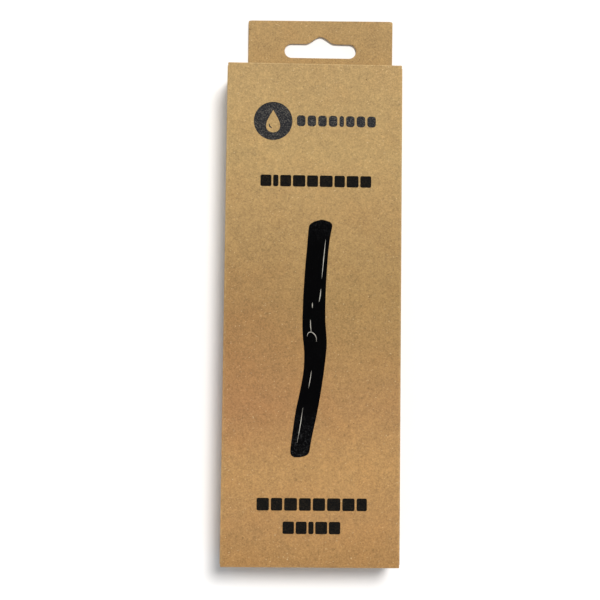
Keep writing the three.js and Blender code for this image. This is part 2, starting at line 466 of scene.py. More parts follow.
@dataclass(frozen=True)
class KraftBoard:
    """Unbleached board: a cloudy brown pulp with long fibres, pale and dark flecks and whitened folds."""

    name: str = "kraft_board"
    length_range: Point2 = (-121.0, 121.0)
    # The board's brown by length with painted light and shade in it: darkest a little below the middle,
    # lighter above and below that, and a step darker from the tab's base.
    board_and_painted_light_tones: tuple[tuple[float, Colour], ...] = (
        (0.00, (0.335, 0.182, 0.062)),
        (0.08, (0.375, 0.208, 0.077)),
        (0.17, (0.397, 0.228, 0.084)),
        (0.28, (0.352, 0.196, 0.075)),
        (0.38, (0.328, 0.192, 0.070)),
        (0.47, (0.322, 0.198, 0.072)),
        (0.62, (0.368, 0.232, 0.091)),
        (0.73, (0.401, 0.265, 0.107)),
        (0.893, (0.405, 0.268, 0.112)),
        (0.90, (0.374, 0.242, 0.098)),
        (1.00, (0.386, 0.250, 0.103)),
    )
    pale_fibre: Colour = (0.66, 0.50, 0.27)
    dark_fibre: Colour = (0.15, 0.085, 0.035)
    fold_colour: Colour = (0.60, 0.43, 0.21)
    edge_colour: Colour = (0.47, 0.32, 0.155)
    inner_tint: Colour = (0.92, 0.93, 0.97)
    # Painted shade: a multiplied tint that makes a patch left of the middle of the length darker and pinker.
    painted_shade_tint: Colour = (0.95, 0.87, 0.88)
    painted_shade_x: Point2 = (18.0, -36.0)
    painted_shade_low_y: Point2 = (-92.0, -48.0)
    painted_shade_high_y: Point2 = (26.0, -22.0)
    warm_tint: Colour = (1.02, 0.955, 0.90)
    warm_size: float = 14.0
    cloud_size: float = 30.0
    cloud_depth: float = 0.20
    mottle_size: float = 5.5
    mottle_depth: float = 0.38
    grain_size: float = 0.75
    grain_depth: float = 1.08
    fibre_width: float = 0.42
    fibre_stretch: float = 7.0
    fibre_tilt: float = 12.0
    fibre_angles: Point3 = (24.0, 81.0, 143.0)
    fibre_depth: float = 1.10
    relief: float = 0.075
    roughness: float = 0.82
    gloss: float = 0.28

    def material(self) -> Material:
        """Builds the finish: tone by length with its painted light and shade, then clouds, grain, a patch of
        painted shade, fibres, flecks, folds and cut edges.
        """
        tree = Tree(self.name)
        low, high = self.length_range
        across, along = tree.coordinate("X"), tree.coordinate("Y")
        # Colour by length: the board's brown, with the ramp's painted light and shade in it.
        board_and_painted_light_tone = tree.ramp((along - low) * (1 / (high - low)), self.board_and_painted_light_tones)
        cloud = tree.noise(self.cloud_size, 3, 0.6) - 0.5
        mottle = tree.noise(self.mottle_size, 3, 0.6, shift=0.3) - 0.5
        grain = tree.noise(self.grain_size, 3, 0.65) - 0.5
        long = (self.fibre_stretch, 1, 1)
        fibres = [
            tree.noise(self.fibre_width, stretch=long, turn=(0, self.fibre_tilt, angle), shift=0.1 * k)
            for k, angle in enumerate(self.fibre_angles)
        ]
        strands = (fibres[0] + fibres[1] + fibres[2]) * (1 / 3) - 0.5
        light = cloud * self.cloud_depth + mottle * self.mottle_depth + grain * self.grain_depth
        colour = tree.scaled(board_and_painted_light_tone, light + strands * self.fibre_depth + 1.0)
        # Painted shade: darkens and pinks a patch left of the middle, fading out to the right, the top and
        # the bottom.
        painted_shade = across.between(*self.painted_shade_x) * along.between(*self.painted_shade_low_y)
        painted_shade = painted_shade * along.between(*self.painted_shade_high_y)
        colour = tree.mixed(painted_shade, colour, self.painted_shade_tint, "MULTIPLY")
        warm = tree.noise(self.warm_size, shift=0.7).between(0.46, 0.7) * 0.35
        colour = tree.mixed(warm, colour, self.warm_tint, "MULTIPLY")
        pale_fleck = tree.noise(0.9, 1, 0.4, shift=0.9).between(0.70, 0.78) * 0.5
        dark_fleck = tree.noise(1.1, 1, 0.4, shift=1.3).between(0.72, 0.80) * 0.75
        colour = tree.mixed(fibres[0].between(0.69, 0.78) * 0.55 + pale_fleck, colour, self.pale_fibre)
        colour = tree.mixed(fibres[1].between(0.70, 0.80) * 0.5 + dark_fleck, colour, self.dark_fibre)
        inside, cut = tree.mark("inside"), tree.mark("edge")
        colour = tree.mixed(inside, colour, self.inner_tint, "MULTIPLY")
        broken = tree.noise(1.6, 3, 0.7, stretch=(1, 2.5, 1), shift=1.7).between(0.36, 0.62)
        colour = tree.mixed(tree.mark("fold") * (broken * 0.32 + 0.02), colour, self.fold_colour)
        colour = tree.mixed(cut * 0.7, colour, tree.scaled(self.edge_colour, grain * 1.4 + 1.0))
        height = grain * 0.6 + strands * 0.9 + mottle * 0.25 + cut * grain
        return tree.finished(
            base_color=colour, roughness=grain * 0.30 + mottle * 0.18 + inside * 0.06 + self.roughness,
            normal=tree.bump(height, self.relief), specular_ior_level=self.gloss,
        )


@dataclass(frozen=True)
class BoardInk:
    """Black ink on kraft board, which lets the board's fibres show where it is thin."""

    name: str
    ink: Colour
    worn: Colour
    wear: float
    roughness: float = 0.7
    gloss: float = 0.15

    def material(self) -> Material:
        """Builds the finish: an even ink, lightened in specks and along fibres by its wear."""
        tree = Tree(self.name)
        speck = tree.noise(0.62, 3, 0.7, shift=0.2)
        strand = tree.noise(0.42, 2, 0.5, stretch=(6, 1, 1), turn=(0, 0, 143), shift=0.2)
        patch = tree.noise(3.5, 2, 0.5, shift=0.6).between(0.35, 0.7)
        flecks = speck.between(0.44, 0.66) * 0.65 + strand.between(0.55, 0.75) * 0.35
        thin = flecks * (patch * 0.5 + 0.5) * self.wear
        colour = tree.mixed(thin, self.ink, self.worn)
        return tree.finished(
            base_color=colour, roughness=speck * 0.15 + self.roughness,
            normal=tree.bump(speck + strand, 0.03), specular_ior_level=self.gloss,
        )


@dataclass(frozen=True)
class PictureInk:
    """The printed picture's solid black, with a grey stippled grain towards the two ends of the stick."""

    name: str = "picture_ink"
    black: Colour = (0.0007, 0.0007, 0.0009)
    grey: Colour = (0.035, 0.035, 0.036)
    lower_end: Point2 = (-50.0, -71.0)
    upper_end: Point2 = (14.0, 27.0)

    def material(self) -> Material:
        """Builds the finish: black, and stipple whose share grows towards each end."""
        tree = Tree(self.name)
        along = tree.coordinate("Y")
        ends = along.between(*self.lower_end) * 0.85 + along.between(*self.upper_end) * 0.4
        stipple = tree.noise(0.7, 3, 0.7, shift=0.5).between(0.46, 0.72)
        clouds = tree.noise(3.0, 2, 0.6, shift=0.8).between(0.35, 0.65)
        colour = tree.mixed(ends * stipple * (clouds * 0.6 + 0.4), self.black, self.grey)
        return tree.finished(base_color=colour, roughness=stipple * 0.1 + 0.85, specular_ior_level=0.03)


@dataclass(frozen=True)
class HighlightInk:
    """The pale strokes that model the picture's shine: thinned brown-grey, broken along its edges."""

    name: str = "highlight_ink"
    pale: Colour = (0.42, 0.40, 0.35)
    dim: Colour = (0.20, 0.19, 0.165)

    def material(self) -> Material:
        """Builds the finish: pale, dimmed in streaks."""
        tree = Tree(self.name)
        streak = tree.noise(0.8, 2, 0.6, stretch=(1, 5, 1), shift=0.4)
        colour = tree.mixed(streak.between(0.45, 0.75), self.pale, self.dim)
        return tree.finished(base_color=colour, roughness=streak * 0.1 + 0.8, specular_ior_level=0.1)


@dataclass(frozen=True)
class Charcoal:
    """Hard white charcoal: a steely black with grey ash held in its cracks and on its worn ridges."""

    name: str = "charcoal"
    black: Colour = (0.018, 0.018, 0.019)
    steel: Colour = (0.075, 0.074, 0.073)
    ash: Colour = (0.30, 0.285, 0.265)

    def material(self) -> Material:
        """Builds the finish: black and steel streaks down the wood's grain, ash in the hollows."""
        tree = Tree(self.name)
        grain = tree.noise(0.9, 4, 0.65, stretch=(1, 9, 1))
        fine = tree.noise(0.35, 3, 0.6, stretch=(1, 3, 1), shift=0.2)
        cloud = tree.noise(9, 3, 0.6, stretch=(1, 2, 1), shift=0.5)
        hollow = tree.mark("hollow")
        steel = grain.between(0.45, 0.72) * (cloud.between(0.35, 0.65) * 0.8 + 0.2)
        colour = tree.mixed(steel, self.black, self.steel)
        dust = hollow * fine.between(0.35, 0.6) * 0.55 + (cloud * fine).between(0.28, 0.42) * 0.4
        colour = tree.mixed(dust.between(0.05, 0.9), colour, self.ash)
        rough = 0.66 - steel * 0.30 + dust * 0.25
        relief = grain * 0.7 + fine * 0.5
        return tree.finished(
            base_color=colour, roughness=rough, metallic=steel * 0.35, normal=tree.bump(relief, 0.16),
        )


@dataclass(frozen=True)
class DriedGlue:
    """A dried film of carton glue: milky amber, glossy, pitted by small bubbles."""

    name: str = "dried_glue"
    amber: Colour = (0.52, 0.40, 0.20)
    milk: Colour = (0.70, 0.62, 0.46)

    def material(self) -> Material:
        """Builds the finish: milky clouds in amber, with bubbles as shallow pits."""
        tree = Tree(self.name)
        cloud = tree.noise(4, 3, 0.6, stretch=(1, 3, 1))
        bubbles = tree.cells(1.1).between(0.30, 0.12)
        colour = tree.mixed(cloud.between(0.38, 0.66), self.amber, self.milk)
        return tree.finished(
            base_color=colour, roughness=cloud * 0.25 + bubbles * 0.2 + 0.22,
            normal=tree.bump(cloud - bubbles * 0.7, 0.06), subsurface_weight=0.1,
        )


@dataclass(frozen=True)
class StudioPaper:
    """The pale floor and wall: matte white with the faintest cloud, and a glow where it is lit."""

    name: str = "studio_paper"
    white: Colour = (0.93, 0.93, 0.93)
    off_white: Colour = (0.90, 0.90, 0.90)
    glow: float = 0.0

    def material(self) -> Material:
        """Builds the finish."""
        tree = Tree(self.name)
        cloud = tree.noise(400, 2, 0.5)
        colour = tree.mixed(cloud, self.white, self.off_white)
        return tree.finished(
            base_color=colour, roughness=cloud * 0.1 + 0.85, specular_ior_level=0.0,
            emission_color=colour, emission_strength=self.glow,
        )


@dataclass(frozen=True)
class Finishes:
    """Every finish, made once."""

    board: Material
    mark_ink: Material
    row_ink: Material
    picture_ink: Material
    highlight_ink: Material
    charcoal: Material
    glue: Material

    @staticmethod
    def made() -> Finishes:
        """Builds each finish's material."""
        return Finishes(
            board=KraftBoard().material(),
            mark_ink=BoardInk("mark_ink", (0.009, 0.010, 0.013), (0.24, 0.215, 0.18), 0.6).material(),
            row_ink=BoardInk(
                "row_ink", (0.004, 0.004, 0.004), (0.06, 0.042, 0.022), 0.45, 0.78, 0.06
            ).material(),
            picture_ink=PictureInk().material(),
            highlight_ink=HighlightInk().material(),
            charcoal=Charcoal().material(),
            glue=DriedGlue().material(),
        )


class Slot(Enum):
    """Two material slots' names, which nothing in this script gives to a piece."""

    BOARD = "kraft_board"
    CHARCOAL = "charcoal"


def settle(
    piece: bpy.types.Object, bodies: Sequence[str], nodes: Sequence[str] = (),
    span: tuple[Point3, Point3] | None = None,
) -> None:
    """Lets a piece ride on one body; given a span, it only bakes the piece's place into its mesh, so that it
    rides on neither body and is not bent.

    Args:
        piece: the piece, in place.
        bodies: the body that it rides on, or the one before the crease and the one past it.
        nodes: the frame's nodes that it replaces.
        span: where a bend would start and end, in millimetres; only whether it is given is used.
    """
    if span is None:
        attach(piece, *bodies)
    else:
        start, end = (tuple(value * MM for value in point) for point in span)
        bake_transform(piece)
    if nodes:
        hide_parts(*nodes)
    LOG.info("%s moves with %s", piece.name, " and ".join(bodies))


# --------------------------------------------------------------------------- board


class Axis(Enum):
    """An axis of the frame."""

    X = 0
    Y = 1
    Z = 2


@dataclass(frozen=True)
class Stock:
    """The board that the carton is cut from, and how it folds."""

    thickness: float = 0.5
    fold_radius: float = 0.5
    fold_steps: int = 10
    edge_margin: float = 0.14
    edge_share: float = 0.66
    fold_margins: tuple[float, ...] = (0.25, 0.6, 1.2)
    margin_share: float = 0.3
    fold_fade: float = 0.55

    def arc(self, before: Point2, corner: Point2, after: Point2) -> Array:
        """The round fold at a corner of the board's middle line.

        The arc's centre lies on the corner's bisector, and its points turn evenly from the end of
        one straight to the start of the next.

        Args:
            before: a point on the straight that leads to the corner.
            corner: where the two straights would meet.
            after: a point on the straight that leaves it.

        Returns:
            (fold_steps + 1, 2) points.
        """
        middle = np.array(corner)
        arriving, leaving = middle - before, np.array(after) - middle
        arriving, leaving = arriving / np.linalg.norm(arriving), leaving / np.linalg.norm(leaving)
        turn = math.acos(float(np.clip(arriving @ leaving, -1, 1)))
        reach = self.fold_radius * math.tan(turn / 2)
        inward = leaving - arriving * float(arriving @ leaving)
        inward /= np.linalg.norm(inward)
        angle = np.linspace(0, turn, self.fold_steps + 1)[:, None]
        start = middle - arriving * reach
        return start + self.fold_radius * (np.sin(angle) * arriving + (1 - np.cos(angle)) * inward)

    def straight(
        self, start: Array, end: Array, count: int, raw: tuple[bool, bool], more: Sequence[float] = ()
    ) -> Array:
        """Points between two ends, closer together next to a fold or a cut edge, with both ends.

        Args:
            start: the first point.
            end: the last point.
            count: how many even points there are.
            raw: whether the first and the last end are cut edges rather than folds.
            more: extra distances back from the end.

        Returns:
            (n, 2) points.
        """
        length = float(np.linalg.norm(end - start))
        kept = length * self.margin_share
        near = [[v for v in ((self.edge_margin,) if cut else self.fold_margins) if v < kept] for cut in raw]
        return start + (end - start) * (steps(length, count, near[0], (*near[1], *more))[:, None] / length)

    def sheet(
        self,
        line: Array,
        low: Array | float,
        high: Array | float,
        axes: tuple[Axis, Axis, Axis],
        outward: Point3,
        raw: tuple[bool, bool, bool, bool],
        folds: Sequence[Point2] = (),
        across: int = 40,
        crown: float = 0.0,
        crown_axis: Axis | None = None,
    ) -> Surface:
        """A closed sheet of board: a middle line carried across from a low limit to a high one.

        Point (i, j) is line i at the share j of the way between its two limits. A crown is added
        along one axis: its height times a parabola that is 0 at the four borders.

        Args:
            line: (n, 2) points of the middle line.
            low: where each station of the line starts.
            high: where each station ends.
            axes: the frame's axes of the line's first value, its second value and the way across.
            outward: the side that the printed skin faces.
            raw: whether the line's start, its end, the low side and the high side are cut edges.
            folds: the corners on the line that carry a fold.
            across: how many even steps go across.
            crown: how far the sheet bulges, in millimetres.
            crown_axis: the axis that it bulges along.

        Returns:
            The sheet, with "fold" and "edge" marks.
        """
        low, high = (np.broadcast_to(np.asarray(value, float), len(line)) for value in (low, high))
        widest = float((high - low).max())
        share = steps(widest, across, (self.edge_margin,), (self.edge_margin,)) / widest
        middle = np.zeros((len(line), len(share), 3))
        middle[..., axes[0].value] = line[:, :1]
        middle[..., axes[1].value] = line[:, 1:]
        middle[..., axes[2].value] = low[:, None] + (high - low)[:, None] * share
        travelled = np.concatenate(([0], np.cumsum(np.linalg.norm(np.diff(line, axis=0), axis=1))))
        if crown_axis is not None:
            way = travelled / travelled[-1]
            middle[..., crown_axis.value] += crown * (16 * (way * (1 - way))[:, None] * share * (1 - share))
        edge = np.zeros(middle.shape[:2])
        for border, cut in zip((np.s_[0, :], np.s_[-1, :], np.s_[:, 0], np.s_[:, -1]), raw):
            edge[border] = np.maximum(edge[border], cut)
        away = np.full(len(line), np.inf)
        for corner in folds:
            away = np.minimum(away, np.linalg.norm(line - np.array(corner), axis=1))
        fold = bell(away, self.fold_fade)[:, None]
        return closed_sheet(middle, self.half_at(edge), outward, marks={"fold": fold, "edge": edge})

    def half_at(self, edge: Array) -> Array:
        """Half of the thickness, which falls to the edge share where the board is cut."""
        return self.thickness / 2 * (1 - (1 - self.edge_share) * edge)


STOCK = Stock()


@dataclass(frozen=True)
class CartonTube:
    """The four panels round the stick and the lap that closes them, each from fold to fold."""

    half_width: float = 37.75
    front_z: float = 24.75
    back_z: float = 0.25
    seam_x: float = 36.95
    lap_top_z: float = 14.8
    lap_slant: float = 6.0
    side_raw_z: float = 0.06
    bottom_y: float = -120.25
    top_y: float = 94.25
    side_bottom_y: float = -119.45
    side_top_y: float = 93.45
    lap_bottom_y: float = -117.0
    lap_top_y: float = 91.0
    back_bottom_y: float = -121.0
    back_top_y: float = 95.0
    front_crown: float = 0.22
    side_crown: float = 0.12
    across: int = 60

    def front_height(self, x: Array, y: Array) -> Array:
        """The height of the front's printed skin: its flat height plus the crown's parabola both ways."""
        across = 0.5 + x / (2 * self.half_width)
        along = (y - self.bottom_y) / (self.top_y - self.bottom_y)
        crown = 16 * across * (1 - across) * along * (1 - along)
        return self.front_z + STOCK.thickness / 2 + self.front_crown * crown

    def panel(
        self, corners: Sequence[Point2], count: int, limits: Point2, outward: Point3,
        raw_ends: tuple[bool, bool] = (False, False), crown: float = 0.0, crown_axis: Axis | None = None,
    ) -> Surface:
        """One panel, from the middle of its first fold to the middle of its last.

        Args:
            corners: the corners before, at the start of, at the end of and after the panel, in X and
                Z; the first two are the same where the panel starts at a cut edge, and the last two
                where it ends at one.
            count: how many even points its straight has.
            limits: its lowest and highest Y.
            outward: the side that its printed skin faces.
            raw_ends: whether its low and high ends are cut edges.
            crown: how far it bulges.
            crown_axis: the axis that it bulges along.

        Returns:
            The panel.
        """
        before, start, end, after = corners
        starts_raw, ends_raw = before == start, end == after
        half = STOCK.fold_steps // 2
        first = np.array([start]) if starts_raw else STOCK.arc(before, start, end)[half:]
        last = np.array([end]) if ends_raw else STOCK.arc(start, end, after)[: half + 1]
        run = STOCK.straight(first[-1], last[0], count, (starts_raw, ends_raw))
        line = np.concatenate((first[:-1], run, last[1:]))
        folds = [corner for corner, cut in ((start, starts_raw), (end, ends_raw)) if not cut]
        return STOCK.sheet(
            line, *limits, (Axis.X, Axis.Z, Axis.Y), outward, (starts_raw, ends_raw, *raw_ends),
            folds, self.across, crown, crown_axis,
        )

    def build(self, finishes: Finishes) -> None:
        """Builds and dresses the four panels and the lap."""
        lap_end = (self.seam_x, self.lap_top_z)
        seam = (self.seam_x, self.back_z)
        back_left = (-self.half_width, self.back_z)
        front_left = (-self.half_width, self.front_z)
        front_right = (self.half_width, self.front_z)
        side_end = (self.half_width, self.side_raw_z)
        ends, side_ends = (self.bottom_y, self.top_y), (self.side_bottom_y, self.side_top_y)
        back_ends = (self.back_bottom_y, self.back_top_y)
        panels = {
            "back_panel": self.panel(
                (lap_end, seam, back_left, front_left), 60, back_ends, (0, 0, -1), (True, False)
            ),
            "left_side_panel": self.panel(
                (seam, back_left, front_left, front_right), 24, side_ends, (-1, 0, 0),
                crown=-self.side_crown, crown_axis=Axis.X,
            ),
            "front_panel": self.panel(
                (back_left, front_left, front_right, side_end), 60, ends, (0, 0, 1),
                crown=self.front_crown, crown_axis=Axis.Z,
            ),
            "right_side_panel": self.panel(
                (front_left, front_right, side_end, side_end), 24, side_ends, (1, 0, 0),
                crown=self.side_crown, crown_axis=Axis.X,
            ),
            "glue_flap": self.lap(lap_end, seam, back_left),
        }
        for node, surface in panels.items():
            settle(surface.piece(f"{node}_board", finishes.board), ["carton"], [node])

    def lap(self, lap_end: Point2, seam: Point2, back_left: Point2) -> Surface:
        """The glued lap: its two ends slant inwards, evenly from the fold to its free edge."""
        fold = STOCK.arc(lap_end, seam, back_left)[: STOCK.fold_steps // 2 + 1]
        run = STOCK.straight(np.array(lap_end), fold[0], 14, (True, False))
        line = np.concatenate((run, fold[1:]))
        slant = self.lap_slant * np.clip((line[:, 1] - self.back_z) / (self.lap_top_z - self.back_z), 0, 1)
        return STOCK.sheet(
            line, self.lap_bottom_y + slant, self.lap_top_y - slant, (Axis.X, Axis.Z, Axis.Y),
            (1, 0, 0), (True, False, True, True), [seam], 60,
        )


@dataclass(frozen=True)
class HangTab:
    """The single-ply tab that runs on from the back panel, with the hole that a peg hook takes."""

    left: float = -29.65
    right: float = 36.07
    base_y: float = 95.0
    end_y: float = 121.34
    end_slant: float = 0.0072
    corner_radius: float = 0.8
    middle_z: float = 0.25
    lift: float = 1.1
    lift_start_y: float = 95.5
    twist: float = -0.62
    slot_x: float = 3.2
    slot_bottom_y: float = 104.3
    slot_half_width: float = 16.3
    wing_height: float = 6.5
    hump_height: float = 3.3
    hump_half_width: float = 7.2
    turns: int = 288
    rings: int = 26

    def height(self, x: Array, y: Array) -> Array:
        """The middle height: the tab curls up as a power of the distance from its base, more on one side."""
        share = np.clip((y - self.lift_start_y) / (self.end_y - self.lift_start_y), 0, None)
        side = 1 - self.twist * (x - self.slot_x) / (self.right - self.left)
        return self.middle_z + self.lift * share**1.05 * side

    def slot_outline(self) -> Array:
        """The hole's outline about its middle: a bar with round ends and a bell-shaped hump on top.

        Returns:
            (n, 2) points relative to the slot's middle, anticlockwise from the right end.
        """
        radius = self.wing_height / 2
        reach = self.slot_half_width - radius
        turn = np.linspace(-math.pi / 2, math.pi / 2, 60)
        right_end = np.stack((reach + radius * np.cos(turn), radius * np.sin(turn)), axis=1)
        x = np.linspace(reach, -reach, 160)[1:-1]
        bell = 0.5 * (1 + np.cos(math.pi * np.clip(x / self.hump_half_width, -1, 1)))
        top = np.stack((x, radius + self.hump_height * bell**1.15), axis=1)
        bottom = np.stack((x[::-1], np.full(len(x), -radius)), axis=1)
        return np.concatenate((right_end, top, -right_end, bottom))

    def build(self, finishes: Finishes) -> None:
        """Builds the tab as rings between the hole and the tab's border.

        Ring point (i, j) lies at turn i, the share j of the way from the hole's outline to the
        border. Both are looked up by the same turn, squashed to the hole's and to the tab's shape.
        Then Y grows by the end's slant times X, from nothing at the base to the whole at the end.
        """
        middle_y = self.slot_bottom_y + self.wing_height / 2
        outline = self.slot_outline()
        turn = np.arange(self.turns) * 2 * math.pi / self.turns
        squash = np.array([self.slot_half_width, self.wing_height])
        angle = np.unwrap(np.arctan2(outline[:, 1] / squash[1], outline[:, 0] / squash[0]))
        order = np.argsort(angle % (2 * math.pi))
        around = (angle % (2 * math.pi))[order]
        places = (np.interp(turn, around, outline[order, k], period=2 * math.pi) for k in (0, 1))
        hole = np.stack(tuple(places), axis=1)
        hole += (self.slot_x, middle_y)
        border = self.border(turn, middle_y)
        gap = np.linalg.norm(border - hole, axis=1)[:, None]
        margin = STOCK.edge_margin / gap
        share = margin + (1 - 2 * margin) * np.linspace(0, 1, self.rings)[None, :]
        share = np.concatenate((np.zeros_like(gap), share, np.ones_like(gap)), axis=1)
        flat = hole[:, None, :] + (border - hole)[:, None, :] * share[..., None]
        outward = np.clip((flat[..., 1] - self.base_y) / (self.end_y - self.base_y), 0, 1)
        flat[..., 1] += self.end_slant * (flat[..., 0] - self.slot_x) * outward
        middle = np.concatenate((flat, self.height(flat[..., 0], flat[..., 1])[..., None]), axis=-1)
        edge = np.zeros(share.shape)
        edge[:, 0] = 1
        edge[:, -1] = border[:, 1] > self.base_y + 0.3
        marks = {"fold": np.zeros(share.shape), "edge": edge}
        surface = closed_sheet(middle, STOCK.half_at(edge), (0, 0, 1), True, marks)
        settle(surface.piece("hang_tab_board", finishes.board), ["carton"], ["hang_header"])

    def border(self, turn: Array, middle_y: float) -> Array:
        """The tab's border: each turn's ray, stretched to the rectangle, with its far corners rounded."""
        ray = np.stack((np.cos(turn), np.sin(turn)), axis=1)
        ray /= np.abs(ray).max(axis=1, keepdims=True)
        reach_x = np.where(ray[:, 0] > 0, self.right - self.slot_x, self.slot_x - self.left)
        reach_y = np.where(ray[:, 1] > 0, self.end_y - middle_y, middle_y - self.base_y)
        edge = np.stack((self.slot_x + ray[:, 0] * reach_x, middle_y + ray[:, 1] * reach_y), axis=1)
        core_low = np.array([self.left, self.base_y - 2 * self.corner_radius]) + self.corner_radius
        core_high = np.array([self.right, self.end_y]) - self.corner_radius
        core = np.clip(edge, core_low, core_high)
        away = edge - core
        distance = np.linalg.norm(away, axis=1, keepdims=True)
        limit = np.minimum(self.corner_radius / np.maximum(distance, 1e-9), 1)
        return np.where(edge[:, 1:] > self.base_y + 1, core + away * limit, edge)


@dataclass(frozen=True)
class GluedSeam:
    """The film of glue between the lap and the right side panel."""

    node: str = "glue_line"

    def dress(self, finishes: Finishes) -> None:
        """Gives the frame's own film its finish."""
        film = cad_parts[self.node]
        film.data.materials.clear()
        film.data.materials.append(finishes.glue)
        LOG.info("%s dressed", self.node)


class End(Enum):
    """Which end of the carton: its name, the crease's Y, and the way out of the carton."""

    TOP = ("top", 94.75, 1)
    BOTTOM = ("bottom", -120.75, -1)


@dataclass(frozen=True)
class TuckEnd:
    """A tuck end: the lid, its tongue and two dust flaps, each with the crease that it swings on."""

    end: End
    front_z: float = 24.75
    tongue_z: float = 1.05
    half_width: float = 37.5
    lid_split_z: float = 1.75
    tongue_half_width: float = 36.0
    tongue_length: float = 14.25
    tongue_corner: float = 9.0
    flap_inset: float = 0.8
    side_x: float = 37.75
    flap_reach: float = 22.0
    flap_low_z: float = 1.6
    flap_high_z: float = 24.2
    flap_taper: float = 0.5
    flap_corner: float = 3.0
    flap_slant: float = 0.8
    flap_tip_margins: tuple[float, ...] = (0.5, 1.1, 1.8, 2.6)
    lid_flare: float = 0.3
    lid_flare_length: float = 0.4
    tongue_flare: float = 1.3
    tongue_flare_length: float = 0.12

    @property
    def name(self) -> str:
        """The end's name."""
        return self.end.value[0]

    @property
    def crease_y(self) -> float:
        """The Y of the lid's middle line."""
        return self.end.value[1]

    @property
    def out(self) -> int:
        """The sign of the way out of the carton."""
        return self.end.value[2]

    def build(self, finishes: Finishes) -> None:
        """Builds and dresses the lid, the tongue and the two dust flaps."""
        self.lid(finishes)
        self.tongue(finishes)
        for side in (-1, 1):
            self.dust_flap(side, finishes)

    def bent(
        self, surface: Surface, part: str, bodies: tuple[str, str], span: tuple[Point3, Point3],
        finishes: Finishes,
    ) -> None:
        """Dresses one sheet, shaped round the crease between two bodies; it stays where it is made and rides
        on neither.

        Args:
            surface: the sheet.
            part: which of the end's parts it is, by its node's name.
            bodies: the body before the crease and the one past it.
            span: where a bend would start and end; it is passed on, but no bend is made.
            finishes: the finishes.
        """
        piece = surface.piece(f"{self.name}_{part.replace('lid_tongue', 'tongue')}_board", finishes.board)
        settle(piece, bodies, [f"{self.name}_{part}"], span)

    def lid(self, finishes: Finishes) -> None:
        """The lid, from the front panel round its crease and down to the tongue's crease.

        Its half width is even, plus a flare at the crease that dies off with the way down.

        Args:
            finishes: the finishes.
        """
        y, out, radius = self.crease_y, self.out, STOCK.fold_radius
        corner = (y, self.front_z)
        arc = STOCK.arc((y - out, self.front_z), corner, (y, self.lid_split_z))
        run = STOCK.straight(arc[-1], np.array([y, self.lid_split_z]), 24, (False, False))
        line = np.concatenate((arc[:-1], run))
        flare = np.exp(-((self.front_z - line[:, 1]) / self.lid_flare_length))
        half = self.half_width + self.lid_flare * flare
        surface = STOCK.sheet(
            line, -half, half, (Axis.Y, Axis.Z, Axis.X), (0, out, 0.2),
            (False, False, True, True), [corner],
        )
        span = ((0.0, y - out * radius, self.front_z), (0.0, y, self.front_z - radius))
        self.bent(surface, "lid", ("carton", f"{self.name}_lid"), span, finishes)

    def tongue(self, finishes: Finishes) -> None:
        """The tongue, round its crease and in along the back panel, with its free corners rounded.

        Its half width is even, less what the round corners draw in, plus a flare where it meets the lid.

        Args:
            finishes: the finishes.
        """
        y, out, radius = self.crease_y, self.out, STOCK.fold_radius
        start, corner = (y, self.lid_split_z), (y, self.tongue_z)
        tip = np.array([y - out * self.tongue_length, self.tongue_z])
        arc = STOCK.arc(start, corner, tuple(tip))
        line = np.concatenate(([start], arc[:-1], STOCK.straight(arc[-1], tip, 30, (False, True))))
        travelled = np.abs(line[:, 0] - y)
        drawn = corner_draw(self.tongue_corner - (self.tongue_length - travelled), self.tongue_corner)
        flare = np.exp(-travelled / self.tongue_flare_length) * (line[:, 1] > self.lid_split_z - 0.05)
        half = self.tongue_half_width - drawn + self.tongue_flare * flare
        surface = STOCK.sheet(
            line, -half, half, (Axis.Y, Axis.Z, Axis.X), (0, 0.2 * out, -1),
            (False, True, True, True), [corner],
        )
        span = ((0.0, y, self.tongue_z + radius), (0.0, y - out * radius, self.tongue_z))
        self.bent(surface, "lid_tongue", (f"{self.name}_lid", f"{self.name}_tongue"), span, finishes)

    def dust_flap(self, side: int, finishes: Finishes) -> None:
        """One dust flap, from the side panel round its crease and in behind the lid.

        Its upper side comes down evenly with the way from the crease, and both corners are rounded.

        Args:
            side: -1 for the left one and 1 for the right one.
            finishes: the finishes.
        """
        name = "left" if side < 0 else "right"
        y, out, radius = self.crease_y - self.out * self.flap_inset, self.out, STOCK.fold_radius
        corner = (side * self.side_x, y)
        edge_x = self.side_x + STOCK.thickness / 2
        tip = np.array([side * (edge_x - self.flap_reach), y])
        arc = STOCK.arc((side * self.side_x, y - out), corner, tuple(tip))
        run = STOCK.straight(arc[-1], tip, 40, (False, True), self.flap_tip_margins)
        line = np.concatenate((arc[:-1], run))
        reach = edge_x - np.abs(line[:, 0])
        drawn = corner_draw(reach - (self.flap_reach - self.flap_corner), self.flap_corner)
        high = self.flap_high_z - self.flap_taper * reach - drawn * self.flap_slant
        surface = STOCK.sheet(
            line, self.flap_low_z + drawn, high, (Axis.X, Axis.Y, Axis.Z), (side * 0.2, out, 0),
            (False, True, True, True), [corner], 20,
        )
        z = (self.flap_low_z + self.flap_high_z) / 2
        span = ((side * self.side_x, y - out * radius, z), (side * (self.side_x - radius), y, z))
        self.bent(surface, f"dust_flap_{name}", ("carton", f"{self.name}_dust_{name}"), span, finishes)


# --------------------------------------------------------------------------- print


@dataclass(frozen=True)
class BlockRow:
    """A printed row of plain rounded blocks, which stands where a carton carries a line of words."""

    left: float
    right: float
    bottom: float
    height: float
    widths: tuple[float, ...]
    corner: float = 0.7
    gap_share: float = 0.16

    def blocks(self) -> Array:
        """Each block's middle X, middle Y, half width and half height, as (n, 4) values."""
        widths = np.array(self.widths)
        gap = self.gap_share * widths.mean()
        scale = (self.right - self.left) / (widths.sum() + gap * (len(widths) - 1))
        before = np.cumsum(widths) - widths + gap * np.arange(len(widths))
        half = widths * scale / 2
        tall = np.full(len(widths), self.height / 2)
        return np.stack((self.left + scale * before + half, self.bottom + tall, half, tall), axis=1)


